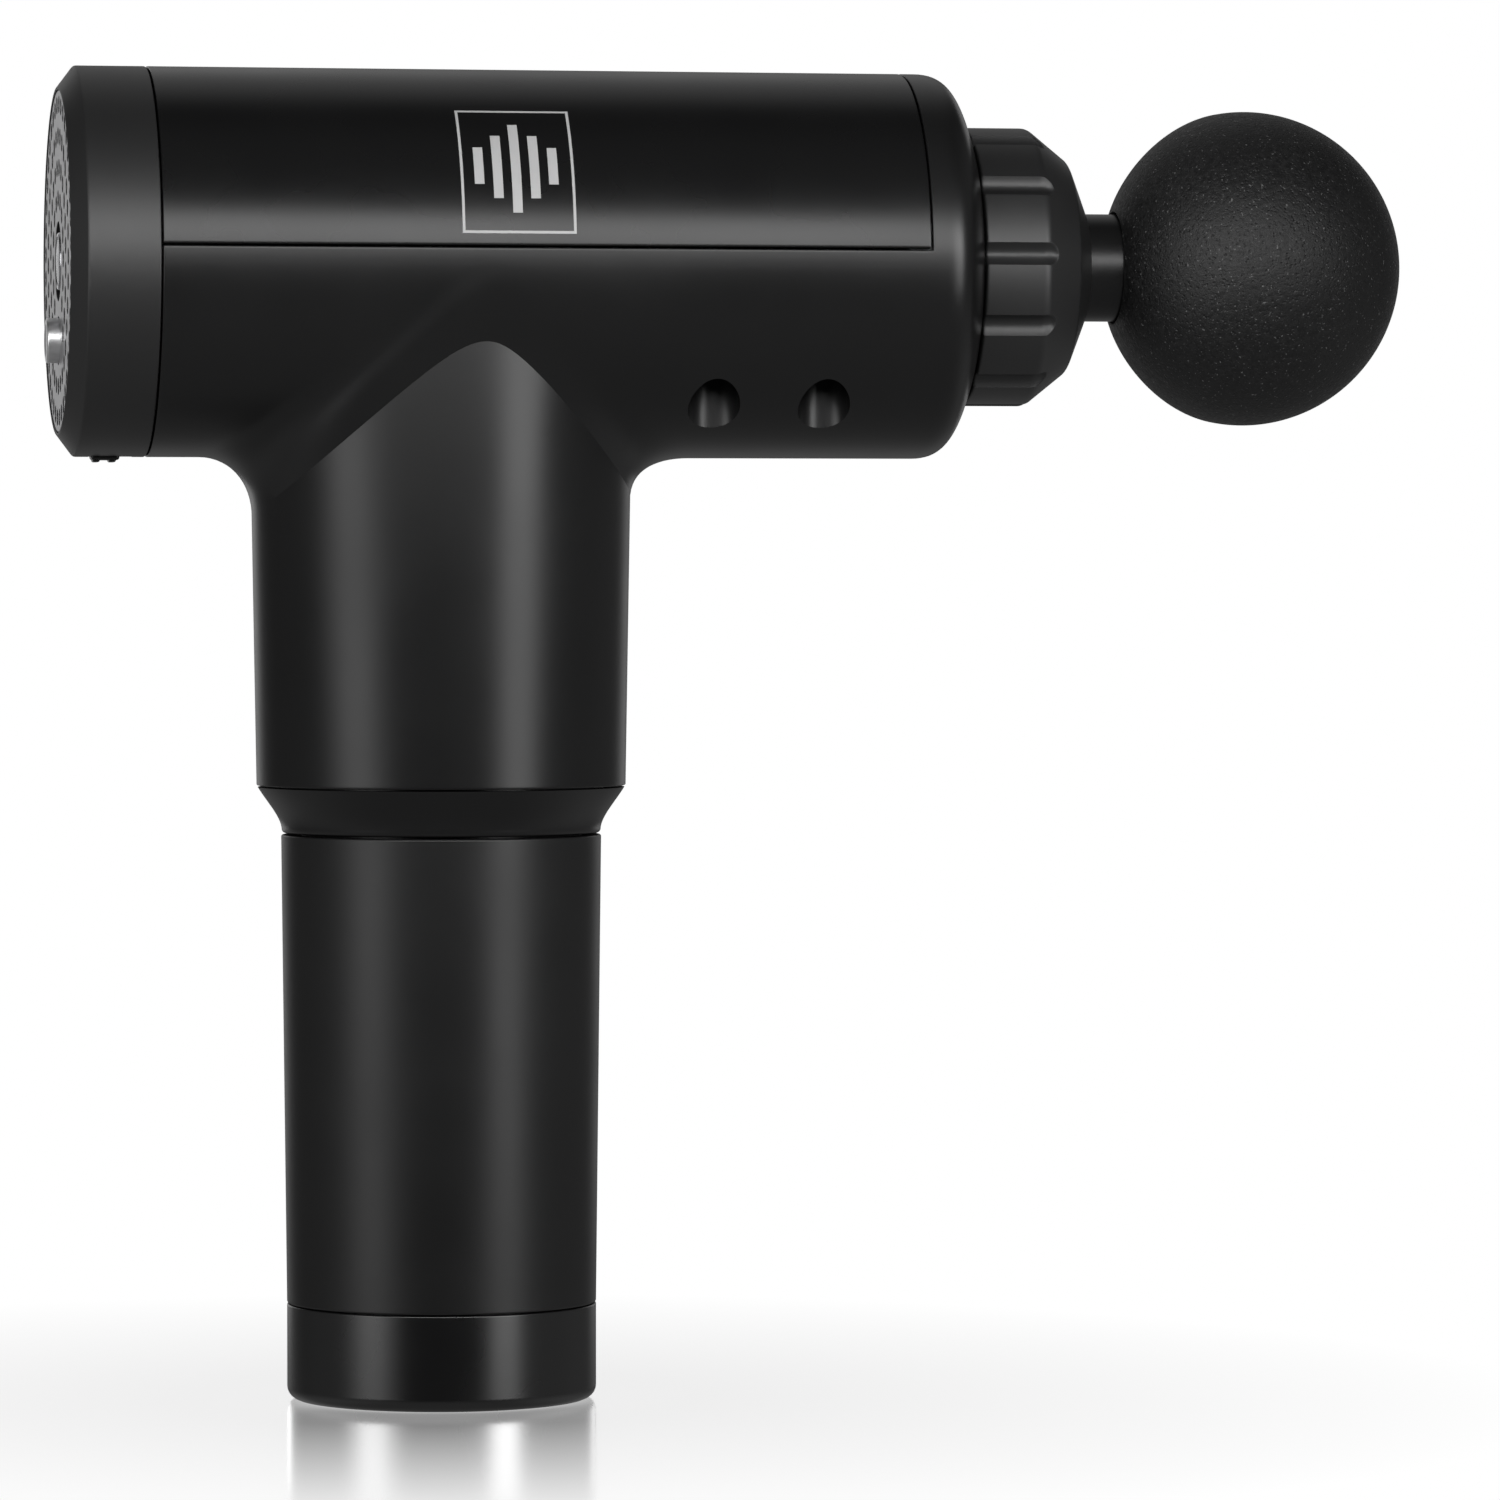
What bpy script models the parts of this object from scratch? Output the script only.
"""Percussive massage gun with a ball attachment: every piece at its real place, in metres, +Z up."""

import math

import bmesh
import bpy
from mathutils import Matrix, Vector

# Driving dimensions, in millimetres. The percussion axis is along +X at HEAD_Z, and the base is at Z = 0.
MM = 0.001
GAP = 0.3
HEAD_Z = 192.2
HEAD_R = 32.8
HEAD_WALL = 3.0
HEAD_BORE = HEAD_R - HEAD_WALL
REAR_X = -50.0
NECK_X = 82.5
NOSE_X = 89.2
NOSE_R = 23.75
COVER_END_X = 78.3
COVER_EDGE_Z = 1.85

HANDLE_TOP_R = 32.2
HANDLE_TOP_Y = 30.25
HANDLE_RIM_R = 31.25
HANDLE_RIM_Z = 104.0
HANDLE_BORE = 28.3
SEAM_Z = 95.8
GRIP_TOP_R = 27.1
GRIP_BASE_R = 26.3
GRIP_BORE = 24.7
CAP_SEAM_Z = 16.2

DISC_R = 28.6
DISC_X = -64.7
DISC_THICK = 1.6
HOLE_R = 1.45
HOLE_PITCH = 5.25
BUTTON_R = 3.8
BUTTON_DROP = 13.3
SWITCH_X = -57.0

COLLAR_X = 89.5
COLLAR_END_X = 110.4
COLLAR_HOLE_R = 9.8
COLLAR_LIP_X = 108.2
PISTON_FRONT_X = 97.8
FLUTES = 12
FLUTE_WIDTH = 3.8
FLUTE_DEPTH = 1.1
FLUTE_END_X = 100.2
GUIDE_R = 12.0
STEM_X = 73.0
STEM_R = 9.2
SOCKET_R = 9.5
SEAL_GROOVES = (79.0, 91.0)
BALL_X = 139.05
BALL_R = 26.95
BALL_WALL = 6.0
BALL_MOUTH_X = 116.05

CRANK_R = 5.0
ROD_LENGTH = 42.0
ROD_THICK = 7.0
BIG_END_R = 12.5
SMALL_END_R = 8.0
SHAFT_R = 3.0
SHAFT_CLEAR_R = 3.2
MOTOR_FLOOR_Z = 118.0
BELL_LOW_Z = 124.0
BELL_TOP_Z = 158.0
BELL_R = 25.2
BRACKET_Z = (163.0, 168.5)
SUPPORT_R = 28.0
WELL_R = 4.4
WELL_Y = 21.7
WELL_X = (43.3, 62.0)
WELL_ROOF = -8.0
BOSS_R = 6.0
CELL_R = 9.2
CELL_PITCH = 19.2
CELL_LOW_Z = 21.5
CELL_TOP_Z = 86.3
LID_LOW_Z = 91.6
LID_TOP_Z = 100.3
CONTACT_FLOOR_Z = 101.5
CAP_FLOOR = 2.6
PORT_X = -13.0

HEAD = Vector((0.0, 0.0, HEAD_Z))
CRANK_PIN = Vector((-CRANK_R, 0.0, HEAD_Z))
WRIST = Vector((ROD_LENGTH - CRANK_R, 0.0, HEAD_Z))
BUTTON = Vector((DISC_X, 0.0, HEAD_Z - BUTTON_DROP))
BASE = Vector((0.0, 0.0, 0.0))


# Tools

def clear_scene():
    for old in list(bpy.data.objects):
        bpy.data.objects.remove(old, do_unlink=True)


def material(name, colour, roughness, metallic=0.0):
    made = bpy.data.materials.new(name)
    made.use_nodes = True
    shader = made.node_tree.nodes["Principled BSDF"]
    shader.inputs["Base Color"].default_value = (*colour, 1.0)
    shader.inputs["Roughness"].default_value = roughness
    shader.inputs["Metallic"].default_value = metallic
    return made


def body(name, place):
    """An empty on the joint's axis, which carries the pieces of one moving body."""
    empty = bpy.data.objects.new(name, None)
    empty.location = place * MM
    bpy.context.scene.collection.objects.link(empty)
    return empty


def solid(name, bm, place, parent=None, look=None):
    """Turns a bmesh in millimetres, drawn round its own place, into an object of its body."""
    bmesh.ops.recalc_face_normals(bm, faces=bm.faces[:])
    bmesh.ops.scale(bm, vec=(MM, MM, MM), verts=bm.verts[:])
    mesh = bpy.data.meshes.new(name)
    bm.to_mesh(mesh)
    bm.free()
    mesh.shade_smooth()
    mesh.set_sharp_from_angle(angle=math.radians(30))
    made = bpy.data.objects.new(name, mesh)
    bpy.context.scene.collection.objects.link(made)
    made.location = place * MM
    if parent:
        made.parent = parent
        made.location = place * MM - parent.location
    if look:
        mesh.materials.append(look)
    return made


def turned_mesh(outline, axis="X", steps=30):
    """A closed outline of (along, radius) points turned round the X or Z axis."""
    bm = bmesh.new()
    rings = []
    for along, radius in outline:
        ring = []
        for step in range(1 if radius == 0 else steps):
            turn = 2 * math.pi * step / steps
            across, up = radius * math.cos(turn), radius * math.sin(turn)
            place = (along, across, up) if axis == "X" else (across, up, along)
            ring.append(bm.verts.new(place))
        rings.append(ring)
    for near, far in zip(rings, rings[1:] + rings[:1]):
        if len(near) == len(far) == 1:
            continue
        for step in range(steps):
            after = (step + 1) % steps
            corners = [near[step % len(near)], near[after % len(near)]]
            corners += [far[after % len(far)], far[step % len(far)]]
            bm.faces.new(list(dict.fromkeys(corners)))
    return bm


def turned(name, outline, place, parent, look, axis="X", steps=30):
    return solid(name, turned_mesh(outline, axis, steps), place, parent, look)


def ring(low, high, inner, outer):
    """The outline of a plain ring, or of a solid disc when inner is 0."""
    return [(low, inner), (low, outer), (high, outer), (high, inner)]


def box_mesh(low, high):
    bm = bmesh.new()
    bmesh.ops.create_cube(bm, size=1.0)
    low, high = Vector(low), Vector(high)
    for vert in bm.verts:
        vert.co = Vector(a + (c + 0.5) * (b - a) for a, b, c in zip(low, high, vert.co))
    return bm


def box(name, low, high, place, parent, look):
    return solid(name, box_mesh(low, high), place, parent, look)


def prism_mesh(outline, low, high):
    """A closed outline of (x, y) points raised from low to high along Z."""
    bm = bmesh.new()
    floor = bm.faces.new([bm.verts.new((x, y, low)) for x, y in outline])
    raised = bmesh.ops.extrude_face_region(bm, geom=[floor])["geom"]
    tops = [item for item in raised if isinstance(item, bmesh.types.BMVert)]
    bmesh.ops.translate(bm, verts=tops, vec=(0, 0, high - low))
    return bm


def arc(centre, radius, start, end, steps):
    """Points along an arc, with angles in degrees."""
    turns = [math.radians(start + (end - start) * step / steps) for step in range(steps + 1)]
    return [(centre[0] + radius * math.cos(a), centre[1] + radius * math.sin(a)) for a in turns]


def bezier(knots, steps):
    """Points along a cubic curve through its first and last knots."""
    points = []
    for step in range(steps + 1):
        t = step / steps
        weights = [(1 - t) ** 3, 3 * t * (1 - t) ** 2, 3 * t * t * (1 - t), t ** 3]
        points.append(sum((k * w for k, w in zip(knots[1:], weights[1:])), knots[0] * weights[0]))
    return points


def combine(target, bm, place, operation, name):
    """Cuts a shape from an object, or joins it to it, with a Boolean modifier on a hidden helper."""
    helper = solid(name, bm, place)
    helper.hide_render = True
    helper.display_type = "WIRE"
    if target.parent:
        helper.parent = target.parent
        helper.location = place * MM - target.parent.location
    step = target.modifiers.new(name, "BOOLEAN")
    step.operation = operation
    step.object = helper
    step.solver = "EXACT"
    return helper


def cut(target, bm, place, name):
    return combine(target, bm, place, "DIFFERENCE", name)


def join(target, bm, place, name):
    return combine(target, bm, place, "UNION", name)


# Housing: two crossing tubes, with a swept band of blend between them

BLEND_ROWS = 9
BLEND_STEPS = 4
BAND_TOP = {"x": 5.5, "z": -1.5, "round": 6.0, "rear_slope": 0.79, "front_slope": 1.0}
CREASE_TOP = {"x": 4.0, "z": -13.9, "round": 6.0, "rear_slope": 0.93, "front_slope": 1.10}
CREASE_FLARE = 0.36
FLARE_ROWS = 3
BLEND_REACH = 0.40
SHOULDER = [(NECK_X, HEAD_R), (84.8, 31.5), (86.9, 28.1), (88.5, 25.1), (NOSE_X, NOSE_R)]


def arch_x(arch, z, forward):
    """Where the rounded V of an arch reaches height z, measured from the head's axis."""
    slope = arch["front_slope"] if forward else arch["rear_slope"]
    reach = math.sqrt(max((arch["z"] - z + arch["round"]) ** 2 - arch["round"] ** 2, 0.0)) / slope
    return arch["x"] + (reach if forward else -reach)


def arch_z(arch, x):
    slope = arch["front_slope"] if x > arch["x"] else arch["rear_slope"]
    return arch["z"] - math.hypot(slope * (x - arch["x"]), arch["round"]) + arch["round"]


def on_head(x, turn, side, radius=HEAD_R):
    """A point on the head's skin. turn is measured from straight down, towards the side."""
    return Vector((x, side * radius * math.sin(turn), -radius * math.cos(turn)))


def on_handle(angle, z, side):
    """A point on the upper handle's skin, which is round at the rim and grows oval upwards."""
    share = (z + HEAD_Z - HANDLE_RIM_Z) / (HEAD_Z - HEAD_R - HANDLE_RIM_Z)
    along = HANDLE_RIM_R + (HANDLE_TOP_R - HANDLE_RIM_R) * share
    across = HANDLE_RIM_R + (HANDLE_TOP_Y - HANDLE_RIM_R) * share
    return Vector((along * math.cos(angle), side * across * math.sin(angle), z))


def band_turns():
    """The head angles of the blend's rows, from straight below to the band's top."""
    top = math.acos(-BAND_TOP["z"] / HEAD_R)
    return [top * math.sin(math.pi / 2 * row / BLEND_ROWS) for row in range(BLEND_ROWS + 1)]


def crease_angle(row, forward):
    """The angle round the handle at which a row of the blend ends."""
    far_angle = 0.0 if forward else math.pi
    top_angle = math.acos(CREASE_TOP["x"] / HANDLE_TOP_R)
    return far_angle + (top_angle - far_angle) * row / BLEND_ROWS


def blend_row(row, turn, side, forward):
    """One cross-section of the blend: a curve tangent to the head that meets the handle at a crease."""
    start = on_head(arch_x(BAND_TOP, -HEAD_R * math.cos(turn), forward), turn, side)
    angle = crease_angle(row, forward)
    end = on_handle(angle, arch_z(CREASE_TOP, HANDLE_TOP_R * math.cos(angle)), side)
    outward = Vector((math.cos(angle), side * math.sin(angle), 0.0))
    normal = Vector((0.0, start.y, start.z)).normalized()
    chord = end - start
    leave = (chord - normal * chord.dot(normal)).normalized()
    flare = CREASE_FLARE * min(row / FLARE_ROWS, 1.0)
    arrive = (Vector((0.0, 0.0, 1.0)) + outward * flare).normalized()
    reach = chord.length * BLEND_REACH
    return bezier([start, start + leave * reach, end + arrive * reach, end], BLEND_STEPS)


def spread(start, end, steps):
    return [start + (end - start) * step / steps for step in range(steps + 1)]


def patch(bm, rows):
    grid = [[bm.verts.new(point) for point in row] for row in rows]
    for low, high in zip(grid, grid[1:]):
        for column in range(len(low) - 1):
            bm.faces.new((low[column], low[column + 1], high[column + 1], high[column]))


def housing_mesh():
    """The solid outer shape of head, blend and upper handle, before it is hollowed."""
    bm = bmesh.new()
    turns = band_turns()
    upper_turns = spread(turns[-1], math.pi, 12)
    for side in (-1, 1):
        rear, front, upper = [], [], []
        for turn in turns:
            height = -HEAD_R * math.cos(turn)
            rear_xs = spread(REAR_X, arch_x(BAND_TOP, height, False), 2)
            front_xs = spread(arch_x(BAND_TOP, height, True), NECK_X, 2)
            rear.append([on_head(x, turn, side) for x in rear_xs])
            front.append([on_head(x, turn, side) for x in front_xs]
                         + [on_head(x, turn, side, r) for x, r in SHOULDER[1:]])
        for turn in upper_turns:
            xs = spread(REAR_X, BAND_TOP["x"], 2) + spread(BAND_TOP["x"], NECK_X, 2)[1:]
            upper.append([on_head(x, turn, side) for x in xs]
                         + [on_head(x, turn, side, r) for x, r in SHOULDER[1:]])
        for rows in (rear, front, upper):
            patch(bm, rows)
        for forward in (False, True):
            sections = [blend_row(row, turn, side, forward) for row, turn in enumerate(turns)]
            patch(bm, sections)
            angles = [crease_angle(row, forward) for row in range(BLEND_ROWS + 1)]
            rims = [on_handle(angle, HANDLE_RIM_Z - HEAD_Z, side) for angle in angles]
            patch(bm, [[section[-1], rim] for section, rim in zip(sections, rims)])
    bmesh.ops.remove_doubles(bm, verts=bm.verts[:], dist=0.001)
    edges = [edge for edge in bm.edges if edge.is_boundary]
    bmesh.ops.holes_fill(bm, edges=edges, sides=0)
    return bm


def screw_places():
    return [(x, side * WELL_Y) for x in WELL_X for side in (-1, 1)]


def hollow(target, name):
    """Hollows a head shell, leaving a screw boss round each well."""
    outline = [(REAR_X - 5, 0), (REAR_X - 5, HEAD_BORE), (80.6, HEAD_BORE), (80.6, 20.2)]
    outline += [(NOSE_X + 5, 20.2), (NOSE_X + 5, 0)]
    core = cut(target, turned_mesh(outline), HEAD, name)
    for count, (x, y) in enumerate(screw_places()):
        boss = turned_mesh(ring(-40, 40, 0, BOSS_R), "Z", 12)
        cut(core, boss, HEAD + Vector((x, y, 0)), f"{name}_boss_{count}")


def make_housing(root, look):
    housing = solid("housing", housing_mesh(), HEAD, root, look)
    hollow(housing, "housing_core")
    well = turned_mesh(ring(HANDLE_RIM_Z - HEAD_Z - 5, -12, 0, HANDLE_BORE), "Z")
    cut(housing, well, HEAD, "handle_bore")
    window = box_mesh((REAR_X - 5, -40, COVER_EDGE_Z - GAP), (COVER_END_X + GAP, 40, 40))
    cut(housing, window, HEAD, "cover_window")
    for count, (x, y) in enumerate(screw_places()):
        place = HEAD + Vector((x, y, 0))
        cut(housing, turned_mesh(ring(-40, WELL_ROOF, 0, WELL_R), "Z", 16), place, f"well_{count}")
        cut(housing, turned_mesh(ring(-10, 5, 0, 1.8), "Z", 12), place, f"well_hole_{count}")


def make_cover(root, look):
    outline = [(REAR_X, 0), (REAR_X, HEAD_R), (COVER_END_X, HEAD_R), (COVER_END_X, 0)]
    cover = solid("top_cover", turned_mesh(outline), HEAD, root, look)
    hollow(cover, "cover_core")
    below = box_mesh((REAR_X - 5, -40, -40), (COVER_END_X + 5, 40, COVER_EDGE_Z))
    cut(cover, below, HEAD, "cover_edge")
    for count, (x, y) in enumerate(screw_places()):
        place = HEAD + Vector((x, y, 0))
        cut(cover, turned_mesh(ring(0, 13, 0, 1.7), "Z", 12), place, f"pilot_{count}")


def make_cover_screws(root, look):
    for count, (x, y) in enumerate(screw_places()):
        outline = [(-11.0, 0), (-11.0, 3.4), (-8.15, 3.4), (-8.15, 1.5), (12.0, 1.5), (12.0, 0)]
        turned(f"cover_screw_{count + 1}", outline, HEAD + Vector((x, y, 0)), root, look, "Z", 12)


# Rear end: bezel, perforated disc, button, slide switch and their board

def grille_holes():
    """Hole centres on concentric rings of 8k holes, leaving a plain field round the button."""
    places = []
    for ring_number in range(2, 6):
        count = 8 * ring_number
        for hole in range(count):
            turn = 2 * math.pi * (hole + 0.5 * (ring_number % 2)) / count
            y = HOLE_PITCH * ring_number * math.sin(turn)
            z = HOLE_PITCH * ring_number * math.cos(turn)
            if math.hypot(y, z + BUTTON_DROP) > 7.5:
                places.append((y, z))
    return places


def make_grille(root, look):
    """The perforated disc: a flat filled curve with its holes, given its thickness by extrusion."""
    outline = bpy.data.curves.new("grille_disc", "CURVE")
    outline.dimensions = "2D"
    outline.fill_mode = "BOTH"
    outline.extrude = DISC_THICK / 2 * MM
    outline.materials.append(look)
    circles = [((0, 0), DISC_R, 36), ((0, 0), 6.7, 24), ((0, -BUTTON_DROP), BUTTON_R + 0.3, 20)]
    circles += [(place, HOLE_R, 6) for place in grille_holes()]
    for centre, radius, steps in circles:
        points = arc(centre, radius, 0, 360, steps)[:-1]
        spline = outline.splines.new("POLY")
        spline.points.add(steps - 1)
        spline.use_cyclic_u = True
        for point, (x, y) in zip(spline.points, points):
            point.co = (x * MM, y * MM, 0, 1)
    disc = bpy.data.objects.new("grille_disc", outline)
    bpy.context.scene.collection.objects.link(disc)
    disc.parent = root
    disc.location = Vector((DISC_X + DISC_THICK / 2, 0, HEAD_Z)) * MM
    disc.rotation_euler = (math.pi / 2, 0, math.pi / 2)


def make_rear(root, looks):
    bezel_outline = [(REAR_X - 0.3, 29.5), (REAR_X - 0.3, HEAD_R), (-62.2, HEAD_R), (-64.9, 29.0)]
    bezel_outline += [(-64.9, DISC_R + 0.15), (-62.9, DISC_R + 0.15), (-62.9, 27.8)]
    bezel_outline += [(-43.0, 27.8), (-43.0, 29.5)]
    bezel = turned("rear_bezel", bezel_outline, HEAD, root, looks["satin"])
    slot = box_mesh((SWITCH_X - 2.7, -2.5, -34), (SWITCH_X + 4.8, 2.5, -26))
    cut(bezel, slot, HEAD, "switch_slot")

    make_grille(root, looks["gunmetal"])
    disc_place = Vector((DISC_X, 0, HEAD_Z))
    emblem_outline = [(-0.3, 0), (-0.3, 4.6), (0, 5.0), (0.6, 5.0), (0.6, 6.4), (DISC_THICK, 6.4)]
    emblem_outline += [(DISC_THICK, 0)]
    turned("emblem", emblem_outline, disc_place, root, looks["steel"], steps=24)
    board_outline = ring(-54.0, -52.4, 0, 27.5)
    turned("control_board", board_outline, HEAD, root, looks["board"], steps=24)
    box("button_switch", (-57.5, -3, -16.3), (-54.2, 3, -10.3), HEAD, root, looks["plastic"])
    box("slide_switch", (-62.0, -4, -22.8), (-54.3, 4, -19.0), HEAD, root, looks["steel"])


def make_button(parent, look):
    outline = [(-2.1, 0), (-2.1, 3.3), (-1.6, BUTTON_R), (2.0, BUTTON_R), (2.0, 4.8)]
    outline += [(3.0, 4.8), (3.0, 1.6), (5.6, 1.6), (5.6, 0)]
    turned("power_button", outline, BUTTON, parent, look, steps=24)


def make_slide_knob(parent, look):
    place = Vector((SWITCH_X, 0, HEAD_Z))
    knob = box("slide_knob", (-2.4, -2.2, -33.2), (2.4, 2.2, -28.1), place, parent, look)
    join(knob, box_mesh((-2.3, -2.0, -30.0), (0.6, 2.0, -23.1)), place, "knob_foot")
    for count, x in enumerate((-1.5, 0.9)):
        rib = box_mesh((x - 0.55, -2.0, -33.7), (x + 0.55, 2.0, -32.9))
        join(knob, rib, place, f"knob_rib_{count}")


# Front end: guide carrier, fluted collar, piston and attachment

def make_guide(root, looks):
    carrier_outline = [(68.6, 15.3), (68.6, 18.0), (75.3, 18.0), (75.3, 29.5), (80.3, 29.5)]
    carrier_outline += [(80.3, 19.6), (100.0, 19.6), (100.0, 15.3)]
    turned("guide_carrier", carrier_outline, HEAD, root, looks["aluminium"])
    turned("guide_bush", ring(69.5, 98.0, GUIDE_R + 0.08, 15.1), HEAD, root, looks["plastic"])
    turned("wiper_seal", ring(98.3, 99.9, GUIDE_R + 0.25, 15.1), HEAD, root, looks["rubber"])


def make_collar(parent, look):
    outline = [(COLLAR_X, 20.0), (COLLAR_X, NOSE_R - 0.4), (COLLAR_X + 0.4, NOSE_R), (99.6, NOSE_R)]
    outline += [(101.2, 22.9), (106.6, 18.8), (107.3, 17.6)]
    outline += [(COLLAR_END_X, 10.4), (COLLAR_END_X, COLLAR_HOLE_R), (COLLAR_LIP_X, COLLAR_HOLE_R)]
    outline += [(COLLAR_LIP_X, 12.6), (106.6, 14.2), (100.7, 14.2), (100.7, 20.0)]
    collar = turned("collar", outline, HEAD, parent, look, steps=48)
    half, start = FLUTE_WIDTH / 2, COLLAR_X - 2
    for flute in range(FLUTES):
        groove = prism_mesh(
            [(start, -half), (FLUTE_END_X, -half)] + arc((FLUTE_END_X, 0), half, -60, 60, 2)
            + [(FLUTE_END_X, half), (start, half)], NOSE_R - FLUTE_DEPTH, NOSE_R + 3)
        turn = Matrix.Rotation(2 * math.pi * flute / FLUTES, 3, "X")
        bmesh.ops.rotate(groove, verts=groove.verts[:], cent=(0, 0, 0), matrix=turn)
        cut(collar, groove, HEAD, f"flute_{flute}")


def make_piston(parent, look):
    front = PISTON_FRONT_X
    outline = [(58.0, 0), (58.0, 11.4), (58.6, GUIDE_R), (front - 0.5, GUIDE_R), (front, 11.5)]
    outline += [(front, SOCKET_R), (72.6, SOCKET_R), (72.6, 0)]
    piston = turned("piston", outline, HEAD, parent, look)
    tongue_outline = [(60.0, 7.0)] + arc((WRIST.x, 0), 7.0, 90, 270, 10) + [(60.0, -7.0)]
    join(piston, prism_mesh(tongue_outline, -6.3, -GAP), HEAD, "piston_tongue")


def ball_outline():
    """The ball's half section: round in front, and drawn in behind to the mouth that grips the stem."""
    mouth_r = STEM_R + 0.5
    front = arc((BALL_X, 0), BALL_R, 100, 0, 9)
    knots = [(BALL_MOUTH_X, mouth_r), (BALL_X - 20.4, 17.4), (BALL_X - 13.0, 25.2), front[0]]
    rear = [tuple(point) for point in bezier([Vector(knot) for knot in knots], 8)]
    inner_r = BALL_R - BALL_WALL
    inner_mouth = math.degrees(math.asin((STEM_R + GAP) / inner_r))
    inside = arc((BALL_X, 0), inner_r, 0, 180 - inner_mouth, 6)
    throat = (BALL_MOUTH_X + 0.4, STEM_R + GAP)
    return rear + front[1:-1] + [(BALL_X + BALL_R, 0), (BALL_X + inner_r, 0)] + inside[1:] + [throat]


def make_attachment(parent, looks):
    end = BALL_X - 14.8
    outline = [(STEM_X, 0), (STEM_X, STEM_R - 0.5), (STEM_X + 0.5, STEM_R)]
    for groove_x in SEAL_GROOVES:
        outline += [(groove_x, STEM_R), (groove_x, 8.0), (groove_x + 2.0, 8.0), (groove_x + 2.0, STEM_R)]
    outline += [(end, STEM_R), (end, 6.0), (84.0, 6.0), (84.0, 0)]
    turned("attachment_stem", outline, HEAD, parent, looks["plastic"], steps=28)
    for name, groove_x in zip(("rear_o_ring", "front_o_ring"), SEAL_GROOVES):
        outline = ring(groove_x + 0.15, groove_x + 1.85, 8.1, STEM_R + 0.15)
        turned(name, outline, HEAD, parent, looks["rubber"], steps=28)
    turned("attachment_ball", ball_outline(), HEAD, parent, looks["foam"])


# Drive: motor in the upper handle, crank, connecting rod

def make_motor(root, looks):
    low = MOTOR_FLOOR_Z
    tube_r, bore_r, step_r = 8.6, 6.4, 5.4
    mount_outline = [(low, 7.4), (low, SUPPORT_R), (low + 4, SUPPORT_R), (low + 4, tube_r)]
    mount_outline += [(low + 31, tube_r), (low + 31, bore_r), (low + 25, bore_r), (low + 25, step_r)]
    mount_outline += [(low + 9, step_r), (low + 9, bore_r), (low + 2.5, bore_r), (low + 2.5, 7.4)]
    turned("motor_mount", mount_outline, BASE, root, looks["aluminium"], "Z")
    stator = ring(low + 8, low + 30, tube_r + 0.2, 21.0)
    turned("motor_stator", stator, BASE, root, looks["copper"], "Z", 24)
    for name, z, steps in (("lower_bearing", low + 3, 16), ("upper_bearing", low + 25.2, 24)):
        bearing = ring(z, z + 5.6, SHAFT_CLEAR_R, bore_r - 0.2)
        turned(name, bearing, BASE, root, looks["steel"], "Z", steps)
    low, top = BRACKET_Z
    bracket_outline = [(low, 7.2), (low, 12.0), (low + 1.5, SUPPORT_R), (top, SUPPORT_R), (top, 7.2)]
    turned("bearing_bracket", bracket_outline, BASE, root, looks["aluminium"], "Z")
    shaft_bearing = ring(low + 0.2, top - 0.2, SHAFT_CLEAR_R, 7.0)
    turned("shaft_bearing", shaft_bearing, BASE, root, looks["steel"], "Z", 24)


def make_rotor(parent, looks):
    low, top, hub = BELL_LOW_Z, BELL_TOP_Z, SHAFT_R + 0.1
    wall_r = BELL_R - 1.6
    bell_outline = [(low, wall_r), (low, BELL_R), (top - 1.5, BELL_R), (top, wall_r), (top, hub)]
    bell_outline += [(top - 6, hub), (top - 6, 8.0), (top - 4, 12.0), (top - 3, wall_r)]
    turned("rotor_bell", bell_outline, BASE, parent, looks["aluminium"], "Z")
    magnets = ring(low + 2, low + 25, 21.5, wall_r - 0.2)
    turned("magnet_ring", magnets, BASE, parent, looks["steel"], "Z", 24)
    turned("motor_shaft", ring(116.0, 188.0, 0, SHAFT_R), BASE, parent, looks["steel"], "Z", 24)
    wheel_low, wheel_top, wheel_r = -13.7, -0.6, 16.5
    wheel_outline = [(wheel_low, hub), (wheel_low, wheel_r - 1), (wheel_low + 1, wheel_r)]
    wheel_outline += [(wheel_top - 1, wheel_r), (wheel_top, wheel_r - 1), (wheel_top, 0)]
    wheel_outline += [(wheel_top - 3, 0), (wheel_top - 3, hub)]
    wheel = turned("crank_wheel", wheel_outline, HEAD, parent, looks["gunmetal"], "Z")
    sector = arc((0, 0), 22.0, -60, 60, 12) + arc((0, 0), 12.0, 60, -60, 8)
    join(wheel, prism_mesh(sector, wheel_low + 1.3, wheel_top - 1.3), HEAD, "counterweight")
    pin_r, pin_top = 5.0, ROD_THICK + GAP
    join(wheel, turned_mesh(ring(-2.0, pin_top, 0, pin_r), "Z", 24), CRANK_PIN, "crank_pin")
    screw_low = pin_top + GAP
    turned("crank_screw", ring(screw_low, screw_low + 2, 0, 6.4), CRANK_PIN, parent, looks["steel"], "Z", 6)


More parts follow.
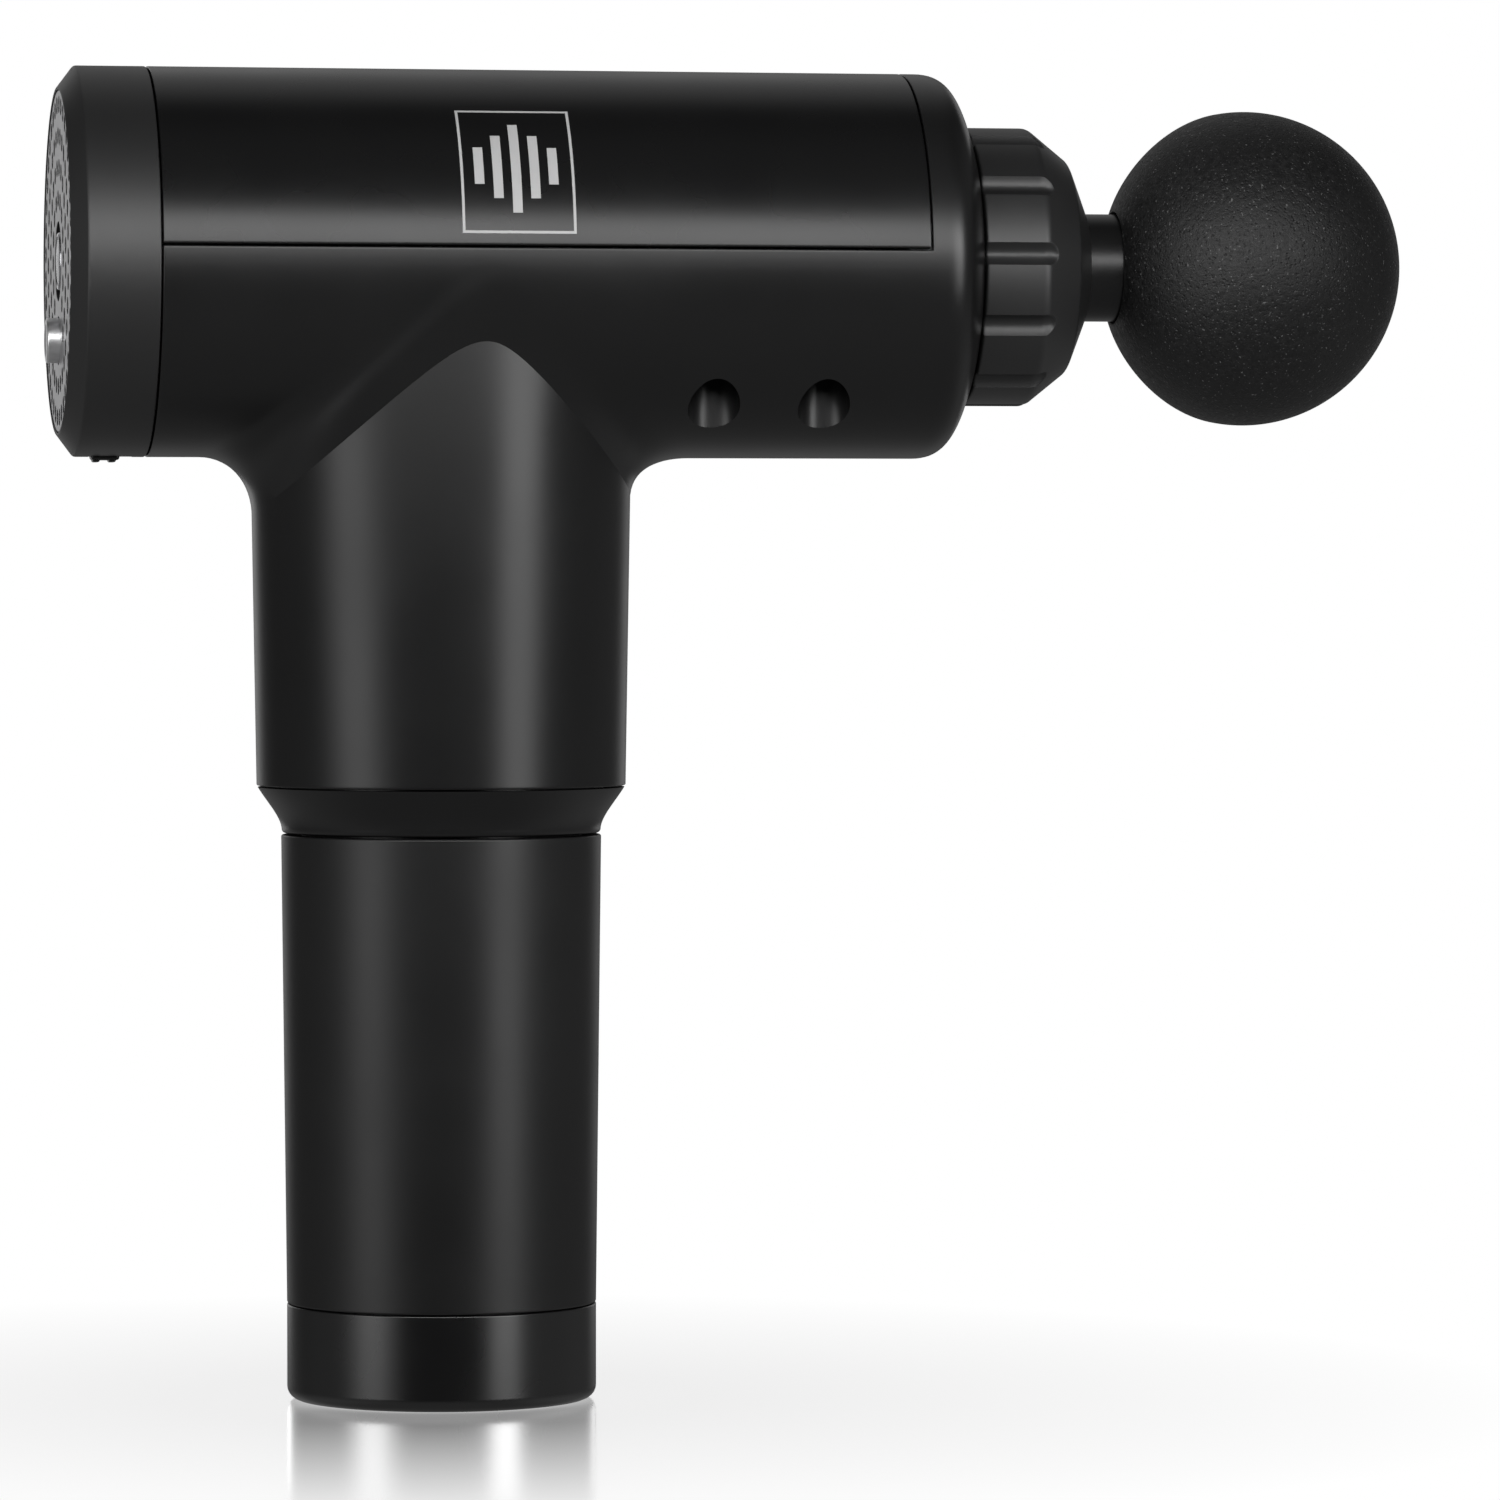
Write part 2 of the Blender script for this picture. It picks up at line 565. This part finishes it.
def make_rod(parent, looks):
    half_web = 4.5
    lean_big = math.degrees(math.asin(half_web / BIG_END_R))
    lean_small = math.degrees(math.asin(half_web / SMALL_END_R))
    outline = arc((0, 0), BIG_END_R, lean_big, 360 - lean_big, 20)
    outline += arc((ROD_LENGTH, 0), SMALL_END_R, 180 + lean_small, 540 - lean_small, 12)
    rod = solid("connecting_rod", prism_mesh(outline, 0, ROD_THICK), CRANK_PIN, parent, looks["aluminium"])
    bearings = (("crank_bearing", CRANK_PIN, 5.15, 10.0), ("wrist_bearing", WRIST, 2.75, 6.0))
    for name, place, inner_r, outer_r in bearings:
        cut(rod, turned_mesh(ring(-5, 15, 0, outer_r + 0.1), "Z", 24), place, f"{name}_bore")
        turned(name, ring(GAP, ROD_THICK - GAP, inner_r, outer_r), place, parent, looks["steel"], "Z", 24)
    head_low = ROD_THICK + 0.1
    screw_outline = [(0, 0), (0, 2.6), (head_low, 2.6), (head_low, 5.0), (head_low + 1.9, 4.6)]
    screw_outline += [(head_low + 1.9, 0)]
    turned("wrist_screw", screw_outline, WRIST, parent, looks["steel"], "Z", 24)


# Handle: neck socket and the battery below it

def make_neck(root, looks):
    low, floor, rim = SEAM_Z + 0.15, CONTACT_FLOOR_Z, HANDLE_RIM_Z - GAP
    pocket_r, spigot_r, spigot_top = 24.3, SUPPORT_R, 112.0
    outline = [(low, pocket_r), (low, GRIP_TOP_R), (low + 0.4, 27.55), (low + 0.9, 27.3), (98.0, 27.55)]
    outline += [(99.7, 28.2), (101.4, 29.5), (102.7, 30.6), (rim, HANDLE_RIM_R - 0.2)]
    outline += [(rim, spigot_r), (spigot_top, spigot_r), (spigot_top, 25.4)]
    outline += [(floor + 2.5, 25.4), (floor + 2.5, 0), (floor, 0), (floor, pocket_r)]
    neck = turned("neck_socket", outline, BASE, root, looks["satin"], "Z")
    cut(neck, box_mesh((-11, -6, floor - 3), (11, 6, floor + 5)), BASE, "contact_window")
    box("contact_block", (-10.8, -5.8, floor - 0.3), (10.8, 5.8, floor + 4), BASE, root, looks["plastic"])
    for name, x in (("contact_plus", 6.0), ("contact_minus", -6.0)):
        pin = ring(floor - 1.1, floor - 0.5, 0, 1.6)
        turned(name, pin, Vector((x, 0, 0)), root, looks["brass"], "Z", 12)


def make_battery(parent, looks):
    low, high = CAP_SEAM_Z + 0.15, SEAM_Z - 0.15
    grip_outline = [(low, GRIP_BORE), (low, GRIP_BASE_R - 0.3), (low + 0.35, GRIP_BASE_R)]
    grip_outline += [(high - 0.35, GRIP_TOP_R), (high, GRIP_TOP_R - 0.3), (high, GRIP_BORE)]
    turned("battery_grip", grip_outline, BASE, parent, looks["soft"], "Z")
    inner_r = GRIP_BORE - GAP
    lid_outline = [(LID_LOW_Z, 0), (LID_LOW_Z, inner_r), (95.0, inner_r), (95.0, inner_r - 0.5)]
    lid_outline += [(LID_TOP_Z - 0.3, inner_r - 0.5), (LID_TOP_Z, inner_r - 1), (LID_TOP_Z, 0)]
    turned("battery_lid", lid_outline, BASE, parent, looks["plastic"], "Z")
    discs = (
        ("battery_board", LID_LOW_Z - 2.2, 1.6, 20.0, "board"),
        ("upper_cell_holder", CELL_TOP_Z + GAP, 2.4, inner_r, "plastic"),
        ("lower_cell_holder", CELL_LOW_Z - 2.1, 1.8, inner_r, "plastic"),
        ("charge_board", 10.4, 1.6, 22.0, "board"),
    )
    for name, z, thick, radius, look in discs:
        turned(name, ring(z, z + thick, 0, radius), BASE, parent, looks[look], "Z", 24)
    for count in range(4):
        turn = math.radians(45 + 90 * count)
        reach = CELL_PITCH / math.sqrt(2)
        place = Vector((reach * math.cos(turn), reach * math.sin(turn), 0))
        turned(f"battery_cell_{count + 1}", ring(CELL_LOW_Z, CELL_TOP_Z, 0, CELL_R), place, parent,
               looks["cell"], "Z", 20)

    cap_r, spigot_top, spigot_r = GRIP_BASE_R - 0.1, 19.0, 22.4
    cap_outline = [(0, 0), (0, cap_r - 2.3), (0.7, cap_r - 0.7), (2.3, cap_r), (CAP_SEAM_Z - 0.3, cap_r)]
    cap_outline += [(CAP_SEAM_Z, cap_r - 0.3), (CAP_SEAM_Z, inner_r), (spigot_top, inner_r)]
    cap_outline += [(spigot_top, spigot_r), (CAP_FLOOR, spigot_r), (CAP_FLOOR, 0)]
    cap = turned("base_cap", cap_outline, BASE, parent, looks["satin"], "Z")
    slot = box_mesh((PORT_X - 5, -2.1, -2), (PORT_X + 5, 2.1, 5))
    cut(cap, slot, BASE, "charge_slot")
    port_low, port_high = (PORT_X - 4.7, -1.8, 0.3), (PORT_X + 4.7, 1.8, 10.1)
    port = box("charge_port", port_low, port_high, BASE, parent, looks["steel"])
    cut(port, box_mesh((PORT_X - 4.2, -1.3, -1), (PORT_X + 4.2, 1.3, 8)), BASE, "charge_mouth")


def main():
    clear_scene()
    looks = {
        "satin": material("satin_black", (0.012, 0.012, 0.013), 0.35),
        "soft": material("soft_touch_black", (0.014, 0.014, 0.015), 0.5),
        "plastic": material("black_nylon", (0.018, 0.018, 0.019), 0.42),
        "foam": material("dense_foam", (0.015, 0.015, 0.016), 0.85),
        "gunmetal": material("gunmetal", (0.16, 0.16, 0.17), 0.4, 1.0),
        "steel": material("polished_steel", (0.6, 0.6, 0.62), 0.2, 1.0),
        "chrome": material("chrome", (0.75, 0.75, 0.77), 0.08, 1.0),
        "aluminium": material("aluminium", (0.55, 0.56, 0.58), 0.35, 1.0),
        "copper": material("copper_winding", (0.6, 0.27, 0.12), 0.35, 1.0),
        "brass": material("gilt_contact", (0.75, 0.55, 0.22), 0.25, 1.0),
        "rubber": material("black_rubber", (0.01, 0.01, 0.01), 0.7),
        "board": material("green_board", (0.01, 0.09, 0.035), 0.45),
        "cell": material("cell_sleeve", (0.02, 0.12, 0.28), 0.4),
    }
    root = body("body_housing", BASE)
    make_housing(root, looks["satin"])
    make_cover(root, looks["satin"])
    make_cover_screws(root, looks["steel"])
    make_rear(root, looks)
    make_guide(root, looks)
    make_motor(root, looks)
    make_neck(root, looks)
    make_button(body("body_button", BUTTON), looks["chrome"])
    make_slide_knob(body("body_switch", Vector((SWITCH_X, 0, HEAD_Z))), looks["satin"])
    make_collar(body("body_collar", HEAD), looks["satin"])
    make_piston(body("body_piston", HEAD), looks["aluminium"])
    make_attachment(body("body_attachment", HEAD), looks)
    make_rotor(body("body_rotor", BASE), looks)
    make_rod(body("body_rod", CRANK_PIN), looks)
    make_battery(body("body_battery", BASE), looks)


main()
